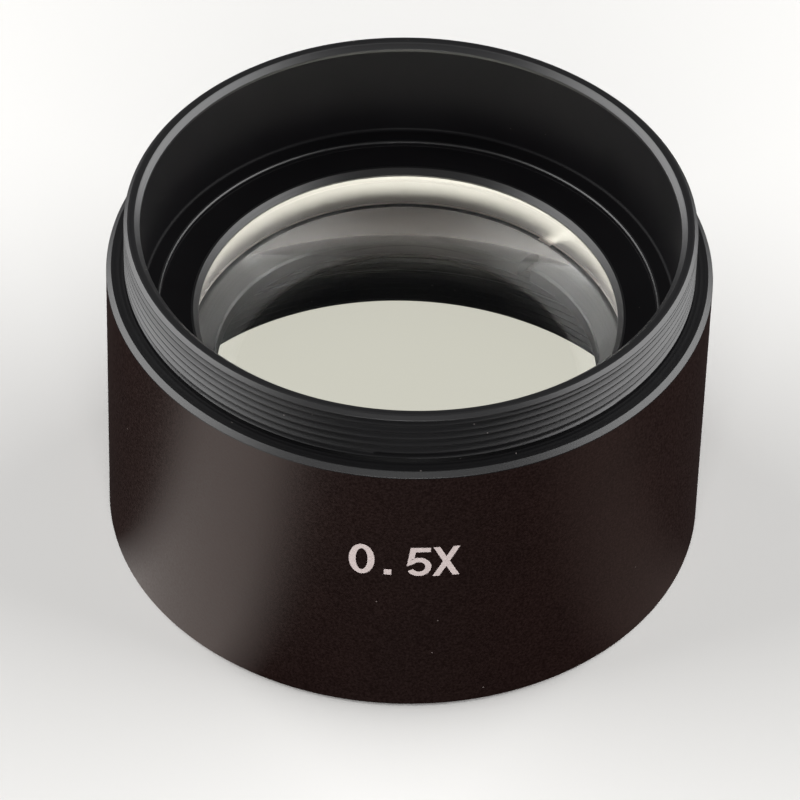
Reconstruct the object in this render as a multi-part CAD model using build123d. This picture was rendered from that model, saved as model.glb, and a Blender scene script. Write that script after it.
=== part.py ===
from build123d import *
import math
import os

# Screw-in auxiliary objective for a stereo microscope: a turned barrel, a cemented pair of lens elements
# that seats against a lip inside it, and a slotted ring that screws in below and clamps the glass.
# Sizes are in millimetres. The optical axis is Z, and Z 0 is the foot of the barrel.

# Barrel, outside
body_height = 27.0          # foot to the shoulder that meets the microscope
shoulder_width = 1.5        # how far the body stands out past the thread
foot_chamfer = 0.25
shoulder_chamfer = 0.4

# Mounting thread, the same above as a plug and below as a socket, so that two barrels can be stacked
thread_radius = 24.0        # crest of the plug, M48 x 0.75
thread_depth = 0.406        # from the nominal radius in to the crest of the socket
thread_length = 4.5
thread_lead_in = 0.3        # chamfer on the first turn
relief_width = 0.4          # groove between the shoulder and the last turn
relief_depth = 0.6
relief_undercut = 0.1       # how far the groove bites into the shoulder, so that the seat is clean
seat_margin = 0.05          # from the crest of the thread to the flat of the shoulder
socket_length = 5.2         # depth of the socket in the foot
socket_chamfer = 0.5

# Upper recess
thread_wall = 1.35          # left between the recess and the crest of the thread
mouth_chamfer = 0.45
floor_fillet = 0.25
ledge_height = 0.5          # small step across the floor of the recess
ledge_break = 0.1           # chamfer on its edge
ledge_share = 0.64          # where the step lies, from the bevel out to the wall

# Lens seat
seat_height = 21.15         # underside of the lip, above the foot
seat_overlap = 0.4          # how far the lip covers the glass
lip_land = 0.2              # straight part of the lip
bevel_width = 0.45
bevel_height = 0.45
seat_clearance = 0.01

# Cemented pair
lens_inset = 5.85           # from the crest of the mounting thread in to the edge of the glass
upper_face_radius = 101.5   # convex, towards the microscope
cement_face_radius = 593.0  # convex upwards
lower_face_radius = 53.9    # concave, towards the specimen
upper_edge = 2.15           # thickness of the upper element at its edge
lower_edge = 6.73           # thickness of the lower element at its edge
cement_film = 0.01
glass_chamfer = 0.15
rim_width = 0.45            # flat ground rim round the concave face
pocket_clearance = 0.05     # radial, round the glass

# Retaining ring, screwed into a thread of its own above the socket, up against the rim of the glass
ring_thread_step = 1.0      # from the crest of the socket in to the crest of the ring's thread
ring_thread_chamfer = 0.2
ring_thickness = 1.0
ring_cover = 2.35           # how far the ring reaches in past the edge of the glass
ring_break = 0.12           # chamfer on the ring's bore
ring_clearance = 0.05       # radial, inside the crest of its thread
ring_headroom = 0.3         # left above the ring, so that it clamps the glass and not the barrel
slot_count = 2
slot_width = 1.3
slot_length = 3.0
slot_azimuth = 51.5         # degrees from +X to the first slot

# Sizes that follow
barrel_radius = thread_radius + shoulder_width
barrel_height = body_height + relief_width + thread_length
socket_radius = thread_radius - thread_depth
ring_thread_radius = socket_radius - ring_thread_step
recess_radius = thread_radius - thread_wall
lens_radius = thread_radius - lens_inset
aperture_radius = lens_radius - seat_overlap
bevel_radius = aperture_radius + bevel_width
bevel_foot = seat_height + lip_land
floor_height = bevel_foot + bevel_height
ledge_radius = bevel_radius + ledge_share * (recess_radius - bevel_radius)
pocket_radius = lens_radius + pocket_clearance


def drop(face_radius, radius):
    """How far a spherical face has fallen below its apex at a distance from the axis."""
    return face_radius - math.sqrt(face_radius**2 - radius**2)


# Heights of the stack, from the lip down
upper_apex = seat_height - seat_clearance + drop(upper_face_radius, aperture_radius)
cement_edge = upper_apex - drop(upper_face_radius, lens_radius) - upper_edge
cement_apex = cement_edge + drop(cement_face_radius, lens_radius)
glass_foot = cement_edge - lower_edge
ring_foot = glass_foot - ring_thickness
ring_thread_top = glass_foot + ring_headroom
ring_bore = lens_radius - ring_cover


def turned(outline):
    """Turns a closed outline, drawn as radius and height, into a solid about the axis."""
    return revolve(make_face(Plane.XZ * outline), Axis.Z)


def straight(*points):
    """A closed outline of straight sides through (radius, height) points."""
    return Polyline(*points, close=True)


def face_arc(apex, face_radius, start, end):
    """The section of a spherical face, convex upwards, between two distances from the axis."""
    middle = (start + end) / 2
    return ThreePointArc(
        (start, apex - drop(face_radius, start)),
        (middle, apex - drop(face_radius, middle)),
        (end, apex - drop(face_radius, end)),
    )


def barrel():
    """Body, plug thread, recess, lip, lens pocket, ring thread and socket, turned in one piece."""
    relief_radius = thread_radius - relief_depth
    thread_foot = body_height + relief_width
    shell = turned(straight(
        (socket_radius + socket_chamfer, 0),
        (barrel_radius - foot_chamfer, 0),
        (barrel_radius, foot_chamfer),
        (barrel_radius, body_height - shoulder_chamfer),
        (barrel_radius - shoulder_chamfer, body_height),
        (thread_radius + seat_margin, body_height),
        (relief_radius, body_height - relief_undercut),
        (relief_radius, thread_foot),
        (thread_radius, thread_foot),
        (thread_radius, barrel_height - thread_lead_in),
        (thread_radius - thread_lead_in, barrel_height),
        (recess_radius + mouth_chamfer, barrel_height),
        (recess_radius, barrel_height - mouth_chamfer),
        (recess_radius, floor_height + ledge_height),
        (ledge_radius + ledge_break, floor_height + ledge_height),
        (ledge_radius, floor_height + ledge_height - ledge_break),
        (ledge_radius, floor_height),
        (bevel_radius, floor_height),
        (aperture_radius, bevel_foot),
        (aperture_radius, seat_height),
        (pocket_radius, seat_height),
        (pocket_radius, ring_thread_top),
        (ring_thread_radius, ring_thread_top),
        (ring_thread_radius, socket_length + ring_thread_chamfer),
        (ring_thread_radius + ring_thread_chamfer, socket_length),
        (socket_radius, socket_length),
        (socket_radius, socket_chamfer),
    ))
    corner = shell.edges().filter_by(
        lambda e: e.geom_type == GeomType.CIRCLE
        and math.isclose(e.radius, recess_radius, abs_tol=1e-6)
        and math.isclose(e.center().Z, floor_height + ledge_height, abs_tol=1e-6)
    )
    return fillet(corner, floor_fillet)


def upper_element():
    """Weak positive element: convex face up, and the cemented face below."""
    face_edge = lens_radius - glass_chamfer
    face_edge_height = upper_apex - drop(upper_face_radius, face_edge)
    outline = Curve() + [
        face_arc(upper_apex, upper_face_radius, 0, face_edge),
        Line((face_edge, face_edge_height), (lens_radius, face_edge_height - glass_chamfer)),
        Line((lens_radius, face_edge_height - glass_chamfer), (lens_radius, cement_edge)),
        face_arc(cement_apex, cement_face_radius, lens_radius, 0),
        Line((0, cement_apex), (0, upper_apex)),
    ]
    return turned(outline)


def lower_element():
    """Strong negative element: the cemented face up, and a concave face below with a flat ground rim."""
    hollow_edge = lens_radius - rim_width
    hollow_apex = glass_foot + drop(lower_face_radius, hollow_edge)
    top = cement_apex - cement_film
    top_edge = top - drop(cement_face_radius, lens_radius)
    outline = Curve() + [
        face_arc(top, cement_face_radius, 0, lens_radius),
        Line((lens_radius, top_edge), (lens_radius, glass_foot + glass_chamfer)),
        Line((lens_radius, glass_foot + glass_chamfer), (lens_radius - glass_chamfer, glass_foot)),
        Line((lens_radius - glass_chamfer, glass_foot), (hollow_edge, glass_foot)),
        face_arc(hollow_apex, lower_face_radius, hollow_edge, 0),
        Line((0, hollow_apex), (0, top)),
    ]
    return turned(outline)


def retaining_ring():
    """Threaded ring with spanner slots cut right through it, outwards from its bore."""
    outer = ring_thread_radius - ring_clearance
    ring = turned(straight(
        (ring_bore, glass_foot - ring_break),
        (ring_bore + ring_break, glass_foot),
        (outer, glass_foot),
        (outer, ring_foot),
        (ring_bore + ring_break, ring_foot),
        (ring_bore, ring_foot + ring_break),
    ))
    slot_reach = ring_bore + slot_length
    slot = Pos(slot_reach / 2, 0, ring_foot + ring_thickness / 2) * Box(
        slot_reach, slot_width, 2 * ring_thickness
    )
    for turn in range(slot_count):
        ring -= Rot(0, 0, slot_azimuth + turn * 360 / slot_count) * slot
    return ring


pieces = {
    "barrel": barrel,
    "upper_element": upper_element,
    "lower_element": lower_element,
    "retaining_ring": retaining_ring,
}

os.makedirs("parts", exist_ok=True)
for name, build in pieces.items():
    export_step(build(), f"parts/{name}.step")
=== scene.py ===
# %% [markdown]
# # Screw-in 0.5X lens for a stereo microscope
# A black aluminium barrel holds a thick cemented lens. It screws into the underside of a stereo microscope
# and halves its magnification. The barrel is turned on a lathe, so nearly every surface here is a profile
# turned about one axis, Z.
#
# The CAD model is loaded first and stays where it is. The visual pieces are built round it, in metres.

# %% Load the frame
import math

import bmesh
import bpy
from mathutils import Matrix, Vector


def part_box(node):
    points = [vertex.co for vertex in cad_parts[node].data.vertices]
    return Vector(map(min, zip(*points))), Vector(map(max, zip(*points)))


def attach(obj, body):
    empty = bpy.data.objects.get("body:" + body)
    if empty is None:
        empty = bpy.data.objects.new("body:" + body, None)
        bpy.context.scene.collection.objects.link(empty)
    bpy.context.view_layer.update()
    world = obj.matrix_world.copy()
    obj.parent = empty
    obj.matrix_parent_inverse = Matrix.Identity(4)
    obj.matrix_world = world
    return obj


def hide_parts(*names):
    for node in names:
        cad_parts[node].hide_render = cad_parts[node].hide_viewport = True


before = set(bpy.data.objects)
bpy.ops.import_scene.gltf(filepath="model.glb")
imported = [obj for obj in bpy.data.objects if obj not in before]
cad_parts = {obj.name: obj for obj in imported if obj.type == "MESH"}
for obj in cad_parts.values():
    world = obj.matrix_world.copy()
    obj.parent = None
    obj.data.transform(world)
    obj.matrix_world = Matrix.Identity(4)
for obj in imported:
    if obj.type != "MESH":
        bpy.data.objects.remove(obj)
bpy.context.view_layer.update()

MM = 0.001

# %% [markdown]
# ## Sizes
# These are the real sizes in millimetres, the same ones that the CAD part was made from. Heights are
# measured from the foot of the barrel. The mounting thread is M48 x 0.75: 48 mm across its crest, 0.75 mm a
# turn.

# %% Sizes of the barrel and the glass
# Outside
BARREL_RADIUS = 25.5
BODY_HEIGHT = 27.0          # foot to the shoulder that meets the microscope
BARREL_HEIGHT = 31.9
FOOT_CHAMFER = 0.25
SHOULDER_CHAMFER = 0.4

# Threads. A radius is that of the crest, and a groove is how deep the thread is cut.
PITCH = 0.75
THREAD_RADIUS = 24.0
THREAD_GROOVE = 0.46
THREAD_LEAD_IN = 0.3
SEAT_MARGIN = 0.05          # from the crest of the thread to the flat of the shoulder
RELIEF_RADIUS = 23.4        # groove between the shoulder and the last turn
RELIEF_WIDTH = 0.4
RELIEF_UNDERCUT = 0.1
SOCKET_RADIUS = 23.594
INNER_GROOVE = 0.406        # of the socket and of the ring's thread
SOCKET_LENGTH = 5.2
SOCKET_CHAMFER = 0.5
RING_THREAD_RADIUS = 22.594
RING_THREAD_TOP = 12.488
RING_THREAD_CHAMFER = 0.2

# Recess above the lens, and the lip that the lens seats against
RECESS_RADIUS = 22.65
MOUTH_CHAMFER = 0.45
FLOOR_FILLET = 0.25
FLOOR_HEIGHT = 21.8
LEDGE_HEIGHT = 22.3
LEDGE_RADIUS = 21.048
LEDGE_BREAK = 0.1
BEVEL_RADIUS = 18.2
BEVEL_FOOT = 21.35
SEAT_HEIGHT = 21.15
APERTURE_RADIUS = 17.75
POCKET_RADIUS = 18.2

# Glass
LENS_RADIUS = 18.15
UPPER_APEX = 22.704
UPPER_FACE_RADIUS = 101.5
LOWER_APEX = 15.177
LOWER_FACE_RADIUS = 53.9
CEMENT_HEIGHT = 18.918
GLASS_CHAMFER = 0.15
RIM_WIDTH = 0.45

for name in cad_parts:
    low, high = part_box(name)
    print(name, "from", round(float(low[2]) / MM, 3), "to", round(float(high[2]) / MM, 3), "mm")

# %% [markdown]
# ## Small tools for materials
# Colours are written as sRGB hex values, which is how a colour picker shows them. Blender's sockets want
# linear light, so one function converts them. Another adds a node, sets it and links it in one call, and
# the rest are the few nodes that nearly every material here is made of.

# %% Colour and node tools
# The Mix node has a set of sockets for each kind of data. These are the numbers of its colour sockets.
MIX_FIRST, MIX_SECOND, MIX_RESULT = 6, 7, 2


def srgb(text):
    """Turns an sRGB hex colour into the linear colour that Blender's sockets take."""
    parts = [int(text[start:start + 2], 16) / 255 for start in (1, 3, 5)]
    linear = [part / 12.92 if part <= 0.04045 else ((part + 0.055) / 1.055) ** 2.4 for part in parts]
    return (*linear, 1.0)


def add(tree, kind, inputs=None, **settings):
    """Adds a node, sets its properties, and fills its inputs with values or links them to sockets."""
    made = tree.nodes.new(kind)
    for name, value in settings.items():
        setattr(made, name, value)
    for key, value in (inputs or {}).items():
        if isinstance(value, bpy.types.NodeSocket):
            tree.links.new(value, made.inputs[key])
        else:
            made.inputs[key].default_value = value
    return made


def start_material(name):
    """A new material with an empty node tree."""
    material = bpy.data.materials.new(name)
    material.use_nodes = True
    material.node_tree.nodes.clear()
    return material, material.node_tree


def object_place(tree):
    """Where a point lies on the object, in metres."""
    return add(tree, "ShaderNodeTexCoord").outputs["Object"]


def noise(tree, place, size, detail):
    """A cloudy pattern, between 0 and 1, with features of a size in millimetres."""
    made = add(tree, "ShaderNodeTexNoise", {"Vector": place, "Scale": 1 / (size * MM), "Detail": detail})
    return made.outputs["Fac"]


def blend(tree, share, first, second):
    """Mixes two colours by a share between 0 and 1. Each is a hex value or the output of a node."""
    inputs = {0: share}
    for key, colour in ((MIX_FIRST, first), (MIX_SECOND, second)):
        inputs[key] = srgb(colour) if isinstance(colour, str) else colour
    return add(tree, "ShaderNodeMix", inputs, data_type="RGBA").outputs[MIX_RESULT]


def rescale(tree, value, before, after):
    """Stretches one range of values, given by its ends, to another, and holds what lies outside it."""
    return add(tree, "ShaderNodeMapRange", {
        0: value,
        1: before[0],
        2: before[1],
        3: after[0],
        4: after[1],
    }).outputs[0]


def show(tree, shader):
    """Makes a shader the surface of its material."""
    add(tree, "ShaderNodeOutputMaterial", {"Surface": shader.outputs[0]})


print("white is", srgb("#ffffff"), "and mid grey is", [round(part, 3) for part in srgb("#808080")])

# %% [markdown]
# ## Bead-blasted black anodise
# The outside of the barrel is aluminium, blasted with glass beads and then anodised and dyed black.
# Blasting leaves shallow pits about 0.1 mm across, so the wall has no sharp reflection, only a soft sheen
# with a fine speckle. The dye is not a pure black: in warm light it looks dark brown. A few specks of dust
# lie on it.
#
# The oxide layer is clear and glassy, so the surface is a dielectric and not a metal, with an IOR of 1.65.

# %% Bead-blasted black anodise
OXIDE_IOR = 1.65


def dust(tree, place, spacing, size, share):
    """A mask of tiny specks: one in each cell of a Voronoi pattern, kept in only a share of the cells."""
    cells = add(tree, "ShaderNodeTexVoronoi", {"Vector": place, "Scale": 1 / (spacing * MM)})
    away = cells.outputs["Distance"]
    near = add(tree, "ShaderNodeMath", {0: away, 1: size / spacing}, operation="LESS_THAN")
    pick = add(tree, "ShaderNodeSeparateColor", {"Color": cells.outputs["Color"]})
    kept = add(tree, "ShaderNodeMath", {0: pick.outputs["Red"], 1: share}, operation="LESS_THAN")
    both = add(tree, "ShaderNodeMath", {0: near.outputs[0], 1: kept.outputs[0]}, operation="MULTIPLY")
    return both.outputs[0]


blasted, tree = start_material("bead_blasted_black_anodise")
place = object_place(tree)
pits = noise(tree, place, size=0.22, detail=2.0)
cloud = noise(tree, place, size=6.0, detail=3.0)
shade = blend(tree, cloud, "#130807", "#1a0d0b")
grain = rescale(tree, pits, (0.35, 0.65), (0.75, 1.25))
speckle = add(tree, "ShaderNodeVectorMath", {0: shade, "Scale": grain}, operation="SCALE")
specks = dust(tree, place, spacing=2.4, size=0.07, share=0.35)
bump = add(tree, "ShaderNodeBump", {"Height": pits, "Strength": 0.35, "Distance": 0.02 * MM})
show(tree, add(tree, "ShaderNodeBsdfPrincipled", {
    "Base Color": blend(tree, specks, speckle.outputs[0], "#6a605e"),
    "Roughness": rescale(tree, pits, (0.3, 0.7), (0.32, 0.44)),
    "IOR": OXIDE_IOR,
    "Specular Tint": srgb("#ffeee8"),
    "Normal": bump.outputs[0],
}))
print("made", blasted.name, "with", len(tree.nodes), "nodes")

# %% [markdown]
# ## Turned black anodise
# The threads, the lip and the chamfered edges are machined after blasting and dyed in the same bath. The
# tool leaves fine rings round the axis, so the surface is smoother across them and shows a satin highlight.
# The rings here follow radius plus height, which lays them round walls, flats and most of the slopes. The
# real feed is about 0.05 mm a turn, too fine to show, so the rings are drawn four times coarser.

# %% Turned black anodise
RING_SPACING = 0.2

turned, tree = start_material("turned_black_anodise")
place = object_place(tree)
across = add(tree, "ShaderNodeVectorMath", {0: place, 1: (1.0, 1.0, 0.0)}, operation="MULTIPLY")
radius = add(tree, "ShaderNodeVectorMath", {0: across.outputs[0]}, operation="LENGTH")
split = add(tree, "ShaderNodeSeparateXYZ", {0: place})
path = add(tree, "ShaderNodeMath", {0: radius.outputs["Value"], 1: split.outputs["Z"]}, operation="ADD")
rings = add(tree, "ShaderNodeTexNoise", {
    "W": path.outputs[0],
    "Scale": 1 / (RING_SPACING * MM),
}, noise_dimensions="1D").outputs["Fac"]
grit = noise(tree, place, size=0.25, detail=2.0)
shade = blend(tree, grit, "#09090a", "#121113")
specks = dust(tree, place, spacing=1.1, size=0.06, share=0.4)
bump = add(tree, "ShaderNodeBump", {"Height": rings, "Strength": 0.2, "Distance": 0.01 * MM})
show(tree, add(tree, "ShaderNodeBsdfPrincipled", {
    "Base Color": blend(tree, specks, shade, "#77706e"),
    "Roughness": rescale(tree, rings, (0.3, 0.7), (0.34, 0.46)),
    "IOR": OXIDE_IOR,
    "Normal": bump.outputs[0],
}))
print("made", turned.name, "with", len(tree.nodes), "nodes")

# %% [markdown]
# ## Matte black recess
# Inside, above the lens, stray light would spoil the picture, so that surface is etched before it is dyed
# and mirrors very little. It has the dye of the turned finish, but it is rougher and its reflection much
# weaker.

# %% Matte black anodise
matte_black, tree = start_material("matte_black_anodise")
place = object_place(tree)
cloud = noise(tree, place, size=5.0, detail=3.0)
shade = blend(tree, cloud, "#0a090b", "#141315")
specks = dust(tree, place, spacing=1.6, size=0.05, share=0.3)
show(tree, add(tree, "ShaderNodeBsdfPrincipled", {
    "Base Color": blend(tree, specks, shade, "#4c4847"),
    "Roughness": 0.5,
    "IOR": OXIDE_IOR,
    "Specular IOR Level": 0.08,
}))
print("made", matte_black.name, "with", len(tree.nodes), "nodes")

# %% [markdown]
# ## A profile with soft corners
# No machined corner is perfectly sharp. Each corner that the eye can see gets a small arc, which is what
# catches a thin line of light along a real edge. Beside each arc goes one more point, close by, so that
# smooth shading bends only at the corner and the flats stay flat.
#
# A profile is then turned about Z, and the pieces of a turned part are welded into one closed mesh.

# %% Profile and lathe tools
SEGMENTS = 288              # steps round every turned surface
ARC_STEPS = 3               # steps round every soft corner
GUARD = 0.05                # how far beside an arc its extra point lies
GUARD_ROOM = 4              # a side gets it only if it is this many times as long as arc and point need
MOST_OF_A_SIDE = 0.45       # what one corner may take up of the side next to it
WELD = 0.0005 * MM


def soften(points):
    """Rounds a profile of (radius, height, corner radius) points. The ends stay as they are."""
    out = [points[0][:2]]
    for before, here, after in zip(points, points[1:], points[2:]):
        corner = Vector(here[:2])
        if here[2] == 0:
            out.append(tuple(corner))
            continue
        back = Vector(before[:2]) - corner
        ahead = Vector(after[:2]) - corner
        half = back.angle(ahead) / 2
        reach = here[2] / math.tan(half)
        for side in (back, ahead):
            if reach > MOST_OF_A_SIDE * side.length:
                raise ValueError(f"corner at {here} is too round for its sides")
        start = corner + back.normalized() * reach
        end = corner + ahead.normalized() * reach
        centre = corner + (back.normalized() + ahead.normalized()).normalized() * (here[2] / math.sin(half))
        if back.length > GUARD_ROOM * (reach + GUARD):
            out.append(tuple(start + back.normalized() * GUARD))
        for step in range(ARC_STEPS + 1):
            spoke = (start - centre).lerp(end - centre, step / ARC_STEPS).normalized() * here[2]
            out.append(tuple(centre + spoke))
        if ahead.length > GUARD_ROOM * (reach + GUARD):
            out.append(tuple(end + ahead.normalized() * GUARD))
    out.append(points[-1][:2])
    return out


def turn(bm, profile, finish):
    """Turns a profile of (radius, height) points about Z into a mesh. A radius of 0 is a pole."""
    angles = [2 * math.pi * step / SEGMENTS for step in range(SEGMENTS)]
    rows = []
    for radius, height in profile:
        if radius == 0:
            rows.append([bm.verts.new((0, 0, height * MM))])
            continue
        rows.append([
            bm.verts.new((radius * MM * math.cos(angle), radius * MM * math.sin(angle), height * MM))
            for angle in angles
        ])
    for one, two in zip(rows, rows[1:]):
        for step in range(SEGMENTS):
            following = (step + 1) % SEGMENTS
            corners = [
                one[step % len(one)],
                one[following % len(one)],
                two[following % len(two)],
                two[step % len(two)],
            ]
            face = bm.faces.new(dict.fromkeys(corners))
            face.material_index = finish
            face.smooth = True


def finish_mesh(bm, name, materials, sharp_angle):
    """Welds the parts of a piece into one closed mesh with its faces outwards, and makes it an object."""
    bmesh.ops.remove_doubles(bm, verts=bm.verts, dist=WELD)
    bmesh.ops.recalc_face_normals(bm, faces=bm.faces)
    open_edges = sum(1 for edge in bm.edges if not edge.is_manifold)
    mesh = bpy.data.meshes.new(name)
    bm.to_mesh(mesh)
    bm.free()
    for material in materials:
        mesh.materials.append(material)
    mesh.set_sharp_from_angle(angle=math.radians(sharp_angle))
    piece = bpy.data.objects.new(name, mesh)
    bpy.context.scene.collection.objects.link(piece)
    triangles = sum(len(face.vertices) - 2 for face in mesh.polygons)
    print(name, "has", triangles, "triangles and", open_edges, "open edges")
    return piece


sample = soften([(1, 0, 0), (1, 1, 0.1), (0, 1, 0)])
print("a right-angled corner of 0.1 mm becomes", len(sample) - 2, "points")

# %% [markdown]
# ## Screw threads
# The barrel has three threads: the plug that screws into the microscope, the same thread as a socket in the
# foot, so that two barrels can be stacked, and a shorter one inside for the ring that holds the lens. A
# thread is one groove that climbs round and round, so it follows a rule: at any height and angle, the depth
# depends only on how far round the turn that point is. Geometry Nodes are right for that. A flat grid is
# rolled into a wall, its rows climb by one pitch in a turn, and each row takes its depth from where it lies
# in the V.
#
# The first and last rows are held at the ends of the wall, so that it starts and stops in a true circle
# that the rest of the barrel can be welded to.

# %% A node tree for a threaded wall
FLAT = 1 / 8                # share of the pitch that is crest, and the same again is root
FLANK = 3 / 8               # share of the pitch that each slope takes
NUDGE = 0.0001              # so that rounding can't put a row at the wrong end of its turn


def thread_tree(name):
    """Builds the tree. Its sizes are named inputs, in metres."""
    tree = bpy.data.node_groups.new(name, "GeometryNodeTree")
    for label, kind in (
        ("Crest radius", "NodeSocketFloat"),
        ("Groove depth", "NodeSocketFloat"),
        ("Pitch", "NodeSocketFloat"),
        ("Start", "NodeSocketFloat"),
        ("End", "NodeSocketFloat"),
        ("Run-out", "NodeSocketFloat"),
        ("Segments", "NodeSocketInt"),
        ("Rows", "NodeSocketInt"),
        ("Finish", "NodeSocketMaterial"),
    ):
        tree.interface.new_socket(label, in_out="INPUT", socket_type=kind)
    tree.interface.new_socket("Geometry", in_out="OUTPUT", socket_type="NodeSocketGeometry")
    given = tree.nodes.new("NodeGroupInput").outputs

    def calc(operation, first, second=0.0):
        return add(tree, "ShaderNodeMath", {0: first, 1: second}, operation=operation).outputs[0]

    def held(value):
        return calc("MINIMUM", calc("MAXIMUM", value, 0.0), 1.0)

    columns = calc("ADD", given["Segments"], 1.0)
    rows = calc("ADD", given["Rows"], 1.0)
    grid = add(tree, "GeometryNodeMeshGrid", {
        "Size X": 1.0,
        "Size Y": 1.0,
        "Vertices X": columns,
        "Vertices Y": rows,
    })
    place = add(tree, "ShaderNodeSeparateXYZ", {0: add(tree, "GeometryNodeInputPosition").outputs[0]})
    round_share = calc("ADD", place.outputs["X"], 0.5)
    up_share = calc("ADD", place.outputs["Y"], 0.5)

    # Rows start one turn below the wall and climb one pitch, so that each row meets itself a turn later.
    length = calc("SUBTRACT", given["End"], given["Start"])
    climb = calc("MULTIPLY", up_share, calc("ADD", length, given["Pitch"]))
    slope = calc("MULTIPLY", round_share, given["Pitch"])
    free = calc("ADD", calc("SUBTRACT", climb, given["Pitch"]), slope)
    height = calc("ADD", given["Start"], calc("MINIMUM", calc("MAXIMUM", free, 0.0), length))

    # The V: crest, slope down, root, slope up.
    phase = calc("FRACT", calc("ADD", calc("DIVIDE", climb, given["Pitch"]), NUDGE))
    down = held(calc("DIVIDE", calc("SUBTRACT", phase, FLAT), FLANK))
    rise = held(calc("DIVIDE", calc("SUBTRACT", phase, FLAT + FLANK + FLAT), FLANK))
    groove = calc("SUBTRACT", down, rise)

    # The groove runs out to nothing just before each end of the wall.
    from_start = held(calc("DIVIDE", calc("SUBTRACT", height, given["Start"]), given["Run-out"]))
    from_end = held(calc("DIVIDE", calc("SUBTRACT", given["End"], height), given["Run-out"]))
    full_depth = calc("MULTIPLY", groove, given["Groove depth"])
    depth = calc("MULTIPLY", full_depth, calc("MULTIPLY", from_start, from_end))
    radius = calc("ADD", given["Crest radius"], depth)
    angle = calc("MULTIPLY", round_share, 2 * math.pi)
    rolled = add(tree, "ShaderNodeCombineXYZ", {
        "X": calc("MULTIPLY", radius, calc("COSINE", angle)),
        "Y": calc("MULTIPLY", radius, calc("SINE", angle)),
        "Z": height,
    })
    wall = add(tree, "GeometryNodeSetPosition", {
        "Geometry": grid.outputs["Mesh"],
        "Position": rolled.outputs[0],
    })
    welded = add(tree, "GeometryNodeMergeByDistance", {"Geometry": wall.outputs[0], "Distance": WELD})
    smooth = add(tree, "GeometryNodeSetShadeSmooth", {"Geometry": welded.outputs[0]})
    real = add(tree, "GeometryNodeRealizeInstances", {"Geometry": smooth.outputs[0]})
    coloured = add(tree, "GeometryNodeSetMaterial", {
        "Geometry": real.outputs[0],
        "Material": given["Finish"],
    })
    add(tree, "NodeGroupOutput", {"Geometry": coloured.outputs[0]})
    return tree


threads = thread_tree("threaded_wall")
print("the tree has", len(threads.nodes), "nodes")

# %% [markdown]
# ## The three threaded walls
# The tree is run once for each thread. A wall is a whole number of rows high, eight to a turn, so that its
# ends fall on a row.

# %% Run the tree once for each thread
ROWS_A_TURN = 8
RUN_OUT = 0.2               # height over which the groove fades at each end of a wall


def thread_wall(crest, depth, start, rows):
    """The mesh of a threaded wall, and its top. A negative depth cuts inwards, as on the plug."""
    end = start + rows * PITCH / ROWS_A_TURN
    holder = bpy.data.objects.new("thread_holder", bpy.data.meshes.new("thread_holder"))
    bpy.context.scene.collection.objects.link(holder)
    modifier = holder.modifiers.new("threads", "NODES")
    modifier.node_group = threads
    values = {
        "Crest radius": crest * MM,
        "Groove depth": depth * MM,
        "Pitch": PITCH * MM,
        "Start": start * MM,
        "End": end * MM,
        "Run-out": RUN_OUT * MM,
        "Segments": SEGMENTS,
        "Rows": rows + ROWS_A_TURN,
        "Finish": turned,
    }
    for item in threads.interface.items_tree:
        if item.in_out == "INPUT":
            modifier[item.identifier] = values[item.name]
    bpy.context.view_layer.update()
    mesh = bpy.data.meshes.new_from_object(holder.evaluated_get(bpy.context.evaluated_depsgraph_get()))
    bpy.data.objects.remove(holder)
    print("thread of radius", crest, "from", start, "to", round(end, 4), "mm:", len(mesh.polygons), "faces")
    return mesh, end


plug_start = BODY_HEIGHT + RELIEF_WIDTH
plug_wall, plug_end = thread_wall(THREAD_RADIUS, -THREAD_GROOVE, plug_start, rows=44)
socket_start = SOCKET_CHAMFER
socket_wall, socket_end = thread_wall(SOCKET_RADIUS, INNER_GROOVE, socket_start, rows=50)
ring_start = SOCKET_LENGTH + RING_THREAD_CHAMFER
ring_wall, ring_end = thread_wall(RING_THREAD_RADIUS, INNER_GROOVE, ring_start, rows=72)

# %% [markdown]
# ## The barrel
# On the real part this is one bar of aluminium, turned outside and inside. From the top, inside: a bright
# chamfer at the mouth, a plain recess for the microscope's own lens, a small step across its floor, and a
# bevel that leads down to the lip that the glass seats against. Below the lip are the pocket of the lens
# and the threads.
#
# It is made as turned profiles that meet end to end, each with the finish of its own surface. They are
# welded to each other and to the threaded walls, so that the barrel is one closed mesh.

# %% Turn and weld the barrel
BLASTED, TURNED, MATTE = 0, 1, 2

# Where one finish gives way to the next
mouth_foot = 31.2
ledge_joint = 21.3
ledge_foot = LEDGE_HEIGHT - 0.2
floor_joint = 18.4
wall_top = 26.5

# Each point is its radius, its height and the radius of its corner.
mouth = [
    (THREAD_RADIUS, plug_end, 0),
    (THREAD_RADIUS, BARREL_HEIGHT - THREAD_LEAD_IN, 0.03),
    (THREAD_RADIUS - THREAD_LEAD_IN, BARREL_HEIGHT, 0.05),
    (RECESS_RADIUS + MOUTH_CHAMFER, BARREL_HEIGHT, 0.05),
    (RECESS_RADIUS, BARREL_HEIGHT - MOUTH_CHAMFER, 0.05),
    (RECESS_RADIUS, mouth_foot, 0),
]
recess = [
    (RECESS_RADIUS, mouth_foot, 0),
    (RECESS_RADIUS, LEDGE_HEIGHT, FLOOR_FILLET),
    (ledge_joint, LEDGE_HEIGHT, 0),
]
ledge = [
    (ledge_joint, LEDGE_HEIGHT, 0),
    (LEDGE_RADIUS + LEDGE_BREAK, LEDGE_HEIGHT, 0.03),
    (LEDGE_RADIUS, LEDGE_HEIGHT - LEDGE_BREAK, 0.03),
    (LEDGE_RADIUS, ledge_foot, 0),
]
recess_floor = [
    (LEDGE_RADIUS, ledge_foot, 0),
    (LEDGE_RADIUS, FLOOR_HEIGHT, 0.04),
    (floor_joint, FLOOR_HEIGHT, 0),
]
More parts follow.
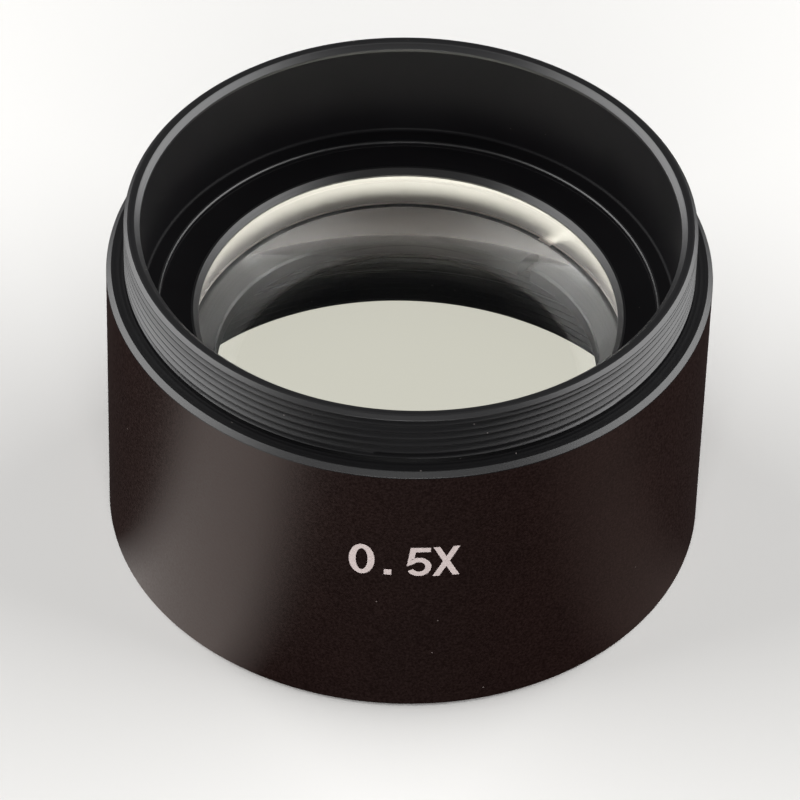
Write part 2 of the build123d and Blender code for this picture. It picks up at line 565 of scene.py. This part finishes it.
seat = [
    (floor_joint, FLOOR_HEIGHT, 0),
    (BEVEL_RADIUS, FLOOR_HEIGHT, 0.04),
    (APERTURE_RADIUS, BEVEL_FOOT, 0.04),
    (APERTURE_RADIUS, SEAT_HEIGHT, 0.03),
    (POCKET_RADIUS, SEAT_HEIGHT, 0),
    (POCKET_RADIUS, RING_THREAD_TOP, 0),
    (RING_THREAD_RADIUS, RING_THREAD_TOP, 0),
    (RING_THREAD_RADIUS, ring_end, 0),
]
step_down = [
    (RING_THREAD_RADIUS, ring_start, 0),
    (RING_THREAD_RADIUS + RING_THREAD_CHAMFER, SOCKET_LENGTH, 0.03),
    (SOCKET_RADIUS, SOCKET_LENGTH, 0),
    (SOCKET_RADIUS, socket_end, 0),
]
foot = [
    (SOCKET_RADIUS, socket_start, 0),
    (SOCKET_RADIUS + SOCKET_CHAMFER, 0, 0.04),
    (BARREL_RADIUS - FOOT_CHAMFER, 0, 0),
]
wall = [
    (BARREL_RADIUS - FOOT_CHAMFER, 0, 0),
    (BARREL_RADIUS, FOOT_CHAMFER, 0.08),
    (BARREL_RADIUS, wall_top, 0),
]
shoulder = [
    (BARREL_RADIUS, wall_top, 0),
    (BARREL_RADIUS, BODY_HEIGHT - SHOULDER_CHAMFER, 0.04),
    (BARREL_RADIUS - SHOULDER_CHAMFER, BODY_HEIGHT, 0.05),
    (THREAD_RADIUS + SEAT_MARGIN, BODY_HEIGHT, 0.02),
    (RELIEF_RADIUS, BODY_HEIGHT - RELIEF_UNDERCUT, 0.05),
    (RELIEF_RADIUS, plug_start, 0.05),
    (THREAD_RADIUS, plug_start, 0),
]
bm = bmesh.new()
for profile in (mouth, ledge, seat, step_down, foot, shoulder):
    turn(bm, soften(profile), TURNED)
turn(bm, soften(wall), BLASTED)
for profile in (recess, recess_floor):
    turn(bm, soften(profile), MATTE)
for mesh in (plug_wall, socket_wall, ring_wall):
    old = set(bm.faces)
    bm.from_mesh(mesh)
    for face in bm.faces:
        if face not in old:
            face.material_index = TURNED
    bpy.data.meshes.remove(mesh)
barrel = finish_mesh(bm, "turned_barrel", [blasted, turned, matte_black], sharp_angle=40)

# %% [markdown]
# ## The glass
# The lens is two elements cemented together: a weak positive one above and a strong negative one below. Its
# faces are polished, and its edge is only ground, so that it looks like frosted glass. Seen through the
# top, that edge is the wide pale crescent round the far side. The thin line near its top is the cement.
#
# Glass stops the lamps from lighting what is inside it, because a render does not trace caustics well, so
# for shadow rays the polished glass is simply clear.

# %% Polished and ground glass
GLASS_IOR = 1.53

polished, tree = start_material("polished_optical_glass")
glass = add(tree, "ShaderNodeBsdfPrincipled", {
    "Base Color": srgb("#fbfcfb"),
    "Roughness": 0.0,
    "IOR": GLASS_IOR,
    "Transmission Weight": 1.0,
    "Specular Tint": srgb("#8a8f96"),
})
clear = add(tree, "ShaderNodeBsdfTransparent", {"Color": srgb("#f4f6f4")})
rays = add(tree, "ShaderNodeLightPath")
show(tree, add(tree, "ShaderNodeMixShader", {
    0: rays.outputs["Is Shadow Ray"],
    1: glass.outputs[0],
    2: clear.outputs[0],
}))

ground, tree = start_material("fine_ground_glass_edge")
grit = noise(tree, object_place(tree), size=0.3, detail=3.0)
show(tree, add(tree, "ShaderNodeBsdfPrincipled", {
    "Base Color": blend(tree, grit, "#e8d8ce", "#f8ece4"),
    "Roughness": 0.45,
    "IOR": GLASS_IOR,
    "Transmission Weight": 0.8,
}))

cement, tree = start_material("cement_line_at_glass_edge")
fade = noise(tree, object_place(tree), size=3.0, detail=2.0)
show(tree, add(tree, "ShaderNodeBsdfPrincipled", {
    "Base Color": blend(tree, fade, "#8d8480", "#b0a7a2"),
    "Roughness": 0.6,
    "IOR": 1.56,
}))
print("made", polished.name, ground.name, cement.name)

# %% [markdown]
# ## The shape of the lens
# The two elements are drawn as one closed piece: two spherical faces, a ground edge with small chamfers,
# and a flat rim round the hollow face. Two glass pieces with a sliver of air between them would mirror
# light at a gap that the real cement fills.

# %% Grind and polish the lens
POLISHED, GROUND, CEMENT = 0, 1, 2
CEMENT_REACH = 0.05         # half the height of the line that the cement shows on the edge


def cap(apex, face_radius, start, end, steps):
    """Points along a spherical face that is convex upwards, between two distances from the axis."""
    out = []
    for step in range(steps + 1):
        radius = start + (end - start) * step / steps
        out.append((radius, apex - face_radius + math.sqrt(face_radius**2 - radius**2)))
    return out


upper_face = cap(UPPER_APEX, UPPER_FACE_RADIUS, 0, LENS_RADIUS - GLASS_CHAMFER, steps=48)
lower_face = cap(LOWER_APEX, LOWER_FACE_RADIUS, LENS_RADIUS - RIM_WIDTH, 0, steps=64)
edge_top = upper_face[-1][1] - GLASS_CHAMFER
foot_of_glass = lower_face[0][1]
bm = bmesh.new()
turn(bm, upper_face, POLISHED)
turn(bm, [
    upper_face[-1],
    (LENS_RADIUS, edge_top),
    (LENS_RADIUS, CEMENT_HEIGHT + CEMENT_REACH),
], GROUND)
turn(bm, [
    (LENS_RADIUS, CEMENT_HEIGHT + CEMENT_REACH),
    (LENS_RADIUS, CEMENT_HEIGHT - CEMENT_REACH),
], CEMENT)
turn(bm, [
    (LENS_RADIUS, CEMENT_HEIGHT - CEMENT_REACH),
    (LENS_RADIUS, foot_of_glass + GLASS_CHAMFER),
    (LENS_RADIUS - GLASS_CHAMFER, foot_of_glass),
    lower_face[0],
], GROUND)
turn(bm, lower_face, POLISHED)
lens = finish_mesh(bm, "cemented_lens", [polished, ground, cement], sharp_angle=25)
print("the foot of the glass is at", round(foot_of_glass, 3), "mm")

# %% [markdown]
# ## Retaining ring
# A flat ring screws up against the rim of the glass and clamps it. It has two slots for a spanner. The CAD
# shape is already right, so it stays, and only takes a better finish.

# %% Finish the ring
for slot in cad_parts["retaining_ring"].material_slots:
    slot.material = turned
print("retaining_ring takes", turned.name)

# %% [markdown]
# ## The magnification mark
# The only marking is the generic magnification, burnt into the anodise with a laser, which bleaches the dye
# and leaves a chalky, slightly pink white.

# %% Bleached anodise
bleached, tree = start_material("laser_bleached_anodise")
grit = noise(tree, object_place(tree), size=0.15, detail=2.0)
show(tree, add(tree, "ShaderNodeBsdfPrincipled", {
    "Base Color": blend(tree, grit, "#b9a9a6", "#e6d8d5"),
    "Roughness": 0.7,
    "IOR": 1.6,
}))
print("made", bleached.name)

# %% [markdown]
# ## Outlines of the mark
# Each character is drawn flat, in millimetres along and up the wall. The nought is one ellipse inside
# another, the five is the stroke of a pen, and the cross is two slanting bars.

# %% Outlines of the mark
def arc(centre, across, up, start, end, steps):
    """Points on an ellipse, between two angles in degrees."""
    angles = [math.radians(start + (end - start) * step / steps) for step in range(steps + 1)]
    return [(centre[0] + across * math.cos(angle), centre[1] + up * math.sin(angle)) for angle in angles]


def stroke_outline(points, width):
    """The closed outline of a pen stroke along a path, with mitred corners and square ends."""
    points = [Vector(point) for point in points]
    left, right = [], []
    for index, here in enumerate(points):
        before = points[max(index - 1, 0)]
        after = points[min(index + 1, len(points) - 1)]
        into = (here - before).normalized() if index > 0 else (after - here).normalized()
        out_of = (after - here).normalized() if index < len(points) - 1 else into
        along = (into + out_of).normalized()
        side = Vector((-along.y, along.x)) * (width / 2 / along.dot(into))
        left.append(here + side)
        right.append(here - side)
    return left + right[::-1]


def cross_outline(centre, reach, height, width):
    """The outline of two bars that cross. Reach is half the width between the middles of their ends."""
    slant = width / 2 / math.sin(math.atan2(height, reach))
    notch = slant * height / reach
    quarter = [(reach - slant, height), (reach + slant, height), (slant, 0)]
    right = quarter + [(reach + slant, -height), (reach - slant, -height), (0, -notch)]
    whole = right + [(-x, -y) for x, y in right]
    return [(centre[0] + x, centre[1] + y) for x, y in whole]


zero_centre = (-3.236, 17.10)
ZERO = [
    arc(zero_centre, across=1.07, up=1.69, start=0, end=360, steps=64)[:-1],
    arc(zero_centre, across=0.50, up=1.21, start=0, end=360, steps=48)[:-1],
]
POINT = [[(-1.37, 15.53), (-0.76, 15.53), (-0.76, 16.13), (-1.37, 16.13)]]
five_bowl = arc((1.50, 16.50), across=0.78, up=0.80, start=138, end=-152, steps=30)
FIVE = [stroke_outline([(2.45, 18.44), (1.00, 18.44), (0.80, 16.98)] + five_bowl, width=0.49)]
CROSS = [cross_outline((3.76, 17.06), reach=0.83, height=1.65, width=0.50)]
print("outline points:", [sum(len(loop) for loop in loops) for loops in (ZERO, POINT, FIVE, CROSS)])

# %% [markdown]
# ## The mark on the wall
# The outlines are filled, cut into narrow upright strips so that they can bend, and wrapped round the wall.
# They are a hundredth of a millimetre proud, so that they are not lost in the wall, and their backs are
# sunk in it.

# %% Fill the outlines and wrap them round the wall
STRIP = 0.2
STRIP_SHIFT = 0.013         # keeps the cuts off the corners of the outlines
FIRST_CUT, LAST_CUT = -24, 27
CUT_TOLERANCE = 1e-5
PROUD = 0.01
SUNK = 0.03


def fill(loops):
    """A flat mesh that fills closed outlines. An outline inside another is a hole."""
    curve = bpy.data.curves.new("outline", "CURVE")
    curve.dimensions = "2D"
    curve.fill_mode = "BOTH"
    for loop in loops:
        spline = curve.splines.new("POLY")
        spline.points.add(len(loop) - 1)
        for point, place in zip(spline.points, loop):
            point.co = (place[0], place[1], 0, 1)
        spline.use_cyclic_u = True
    holder = bpy.data.objects.new("outline", curve)
    bpy.context.scene.collection.objects.link(holder)
    mesh = bpy.data.meshes.new_from_object(holder)
    bpy.data.objects.remove(holder)
    return mesh


bm = bmesh.new()
for loops in (ZERO, POINT, FIVE, CROSS):
    flat = fill(loops)
    bm.from_mesh(flat)
    bpy.data.meshes.remove(flat)
bmesh.ops.remove_doubles(bm, verts=bm.verts, dist=CUT_TOLERANCE)
for step in range(FIRST_CUT, LAST_CUT + 1):
    bmesh.ops.bisect_plane(
        bm,
        geom=bm.verts[:] + bm.edges[:] + bm.faces[:],
        plane_co=(step * STRIP + STRIP_SHIFT, 0, 0),
        plane_no=(1, 0, 0),
        dist=CUT_TOLERANCE,
    )
front = bm.verts[:]
bmesh.ops.extrude_face_region(bm, geom=bm.faces[:], use_keep_orig=True)
back = [vert for vert in bm.verts if vert not in set(front)]
for verts, radius in ((front, BARREL_RADIUS + PROUD), (back, BARREL_RADIUS - SUNK)):
    for vert in verts:
        angle = vert.co.x / BARREL_RADIUS - math.pi / 2
        vert.co = (radius * MM * math.cos(angle), radius * MM * math.sin(angle), vert.co.y * MM)
mark = finish_mesh(bm, "magnification_mark", [bleached], sharp_angle=30)

# %% [markdown]
# ## Say which body each piece rides on
# The lens has no moving parts, so every piece rides on the one body. The turned barrel stands for the CAD
# barrel, and the one piece of glass for its two elements. The ring is the CAD node itself.

# %% Tie the pieces to the frame
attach(barrel, "root")
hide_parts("barrel")
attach(lens, "root")
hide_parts("upper_element", "lower_element")
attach(mark, "root")
print("pieces:", barrel.name, lens.name, mark.name)

# %% [markdown]
# ## Camera
# The camera stands where the photographer stood: about half a metre away, 43 degrees up, on a long lens. It
# was found by fitting circles of the barrel to the photograph, and it leans by less than two degrees.

# %% Place the camera
eye = Vector((0.0, -0.3767, 0.3671))
target = Vector((-0.00049, 0.0, 0.01123))
lean = math.radians(1.69)
forward = (target - eye).normalized()
level = forward.cross(Vector((0, 0, 1))).normalized()
upward = level.cross(forward)
right = math.cos(lean) * level + math.sin(lean) * upward
up = math.cos(lean) * upward - math.sin(lean) * level
camera_data = bpy.data.cameras.new("camera")
camera_data.lens = 271.8
camera_data.sensor_width = 36.0
camera_data.clip_start = 0.01
camera_data.clip_end = 20.0
camera = bpy.data.objects.new("camera", camera_data)
camera.matrix_world = Matrix.Translation(eye) @ Matrix((right, up, -forward)).transposed().to_4x4()
bpy.context.scene.collection.objects.link(camera)
bpy.context.scene.camera = camera
print("camera is", round((target - eye).length, 3), "m away")

# %% [markdown]
# ## Floor
# A plain pale floor. What the camera sees through the glass, or mirrored in it, is the same floor as it
# looks in the open, so rays that have gone through glass find it pale too. The shadow of the barrel stays
# on the part that is seen directly. Rays that were also mirrored inside the glass find the floor glowing
# brighter still, a painted glow: that is what makes the ground edge of the lens shine.
#
# A black wall would mirror so much pale floor that it looked grey. A photographer lays black cards on the
# table, just out of the picture, and leaves a gap at each side that draws one soft highlight down the wall.
# The floor does the same here: rays that come off the object find it dark, apart from two wedges.

# %% Lay the floor
FLOOR_REACH = 2.0
FLOOR_GAP = 0.02 * MM       # below the foot of the barrel, so that the two do not flicker
MIRRORED_GLOW = 3.8           # how much brighter the floor is to rays that were mirrored in the glass
CARD_GLOW = 1.2

# How the cards look, once round the object: 0 is its left, 0.25 its front, 0.5 its right and 0.75 its back.
CARDS = (
    (0.0, "#0c0908"),
    (0.04, "#1c1715"),
    (0.075, "#d9d5d1"),
    (0.14, "#d9d5d1"),
    (0.175, "#1a1210"),
    (0.36, "#120b0a"),
    (0.395, "#5a504c"),
    (0.43, "#5a504c"),
    (0.47, "#140c0b"),
    (1.0, "#0c0908"),
)

paper, tree = start_material("pale_paper_floor")
matte = add(tree, "ShaderNodeBsdfDiffuse", {"Color": srgb("#dddcda")})
rays = add(tree, "ShaderNodeLightPath")
# Painted glow: rays that were mirrored inside the glass find the floor glowing brighter, and that lights
# the ground edge of the lens.
mirrored = rescale(tree, rays.outputs["Glossy Depth"], (0.0, 1.0), (1.0, MIRRORED_GLOW))
pale = add(tree, "ShaderNodeEmission", {"Color": srgb("#d3d1c5"), "Strength": mirrored})
place = add(tree, "ShaderNodeSeparateXYZ", {0: object_place(tree)})
azimuth = add(tree, "ShaderNodeMath", {0: place.outputs["Y"], 1: place.outputs["X"]}, operation="ARCTAN2")
turn_share = rescale(tree, azimuth.outputs[0], (-math.pi, math.pi), (0.0, 1.0))
cards = add(tree, "ShaderNodeValToRGB", {0: turn_share})
while len(cards.color_ramp.elements) < len(CARDS):
    cards.color_ramp.elements.new(0.5)
for element, (share, colour) in zip(cards.color_ramp.elements, CARDS):
    element.position = share
    element.color = srgb(colour)
carded = add(tree, "ShaderNodeEmission", {"Color": cards.outputs[0], "Strength": CARD_GLOW})
seen = add(tree, "ShaderNodeMixShader", {
    0: rays.outputs["Is Camera Ray"],
    1: carded.outputs[0],
    2: matte.outputs[0],
})
show(tree, add(tree, "ShaderNodeMixShader", {
    0: rays.outputs["Is Transmission Ray"],
    1: seen.outputs[0],
    2: pale.outputs[0],
}))
bm = bmesh.new()
around = ((-1, -1), (1, -1), (1, 1), (-1, 1))
bm.faces.new([bm.verts.new((x * FLOOR_REACH, y * FLOOR_REACH, -FLOOR_GAP)) for x, y in around])
floor_mesh = bpy.data.meshes.new("floor")
bm.to_mesh(floor_mesh)
bm.free()
floor_mesh.materials.append(paper)
floor = bpy.data.objects.new("floor", floor_mesh)
bpy.context.scene.collection.objects.link(floor)
print("floor laid")

# %% [markdown]
# ## Light
# Black satin metal is seen mostly by what it reflects. Two large soft boxes stand at the left and right,
# from the table up, so that the threads, the chamfers, the bevel and the small step each catch an arc of
# light on both sides and stay dark at the front and back. A small low one in front lights the mark.

# %% Hang the soft boxes
def soft_box(name, place, aim, width, height, power):
    """A rectangular area lamp, turned to face a point. Sizes are in metres and the power in watts."""
    lamp = bpy.data.lights.new(name, "AREA")
    lamp.shape = "RECTANGLE"
    lamp.size = width
    lamp.size_y = height
    lamp.energy = power
    box = bpy.data.objects.new(name, lamp)
    facing = (Vector(aim) - Vector(place)).to_track_quat("-Z", "Y").to_matrix().to_4x4()
    box.matrix_world = Matrix.Translation(place) @ facing
    bpy.context.scene.collection.objects.link(box)


for name, x in (("left_box", -0.60), ("right_box", 0.60)):
    soft_box(name, place=(x, 0.20, 0.41), aim=(0.0, 0.20, 0.30), width=1.0, height=0.8, power=10.5)
soft_box("front_box", place=(0.0, -0.62, 0.17), aim=(0.0, 0.0, 0.0), width=0.30, height=0.16, power=2.8)
world = bpy.data.worlds.new("soft_room")
world.use_nodes = True
world.node_tree.nodes.clear()
sky = add(world.node_tree, "ShaderNodeBackground", {"Color": srgb("#dfe0e2"), "Strength": 0.08})
add(world.node_tree, "ShaderNodeOutputWorld", {"Surface": sky.outputs[0]})
bpy.context.scene.world = world
bpy.context.scene.view_settings.view_transform = "Standard"
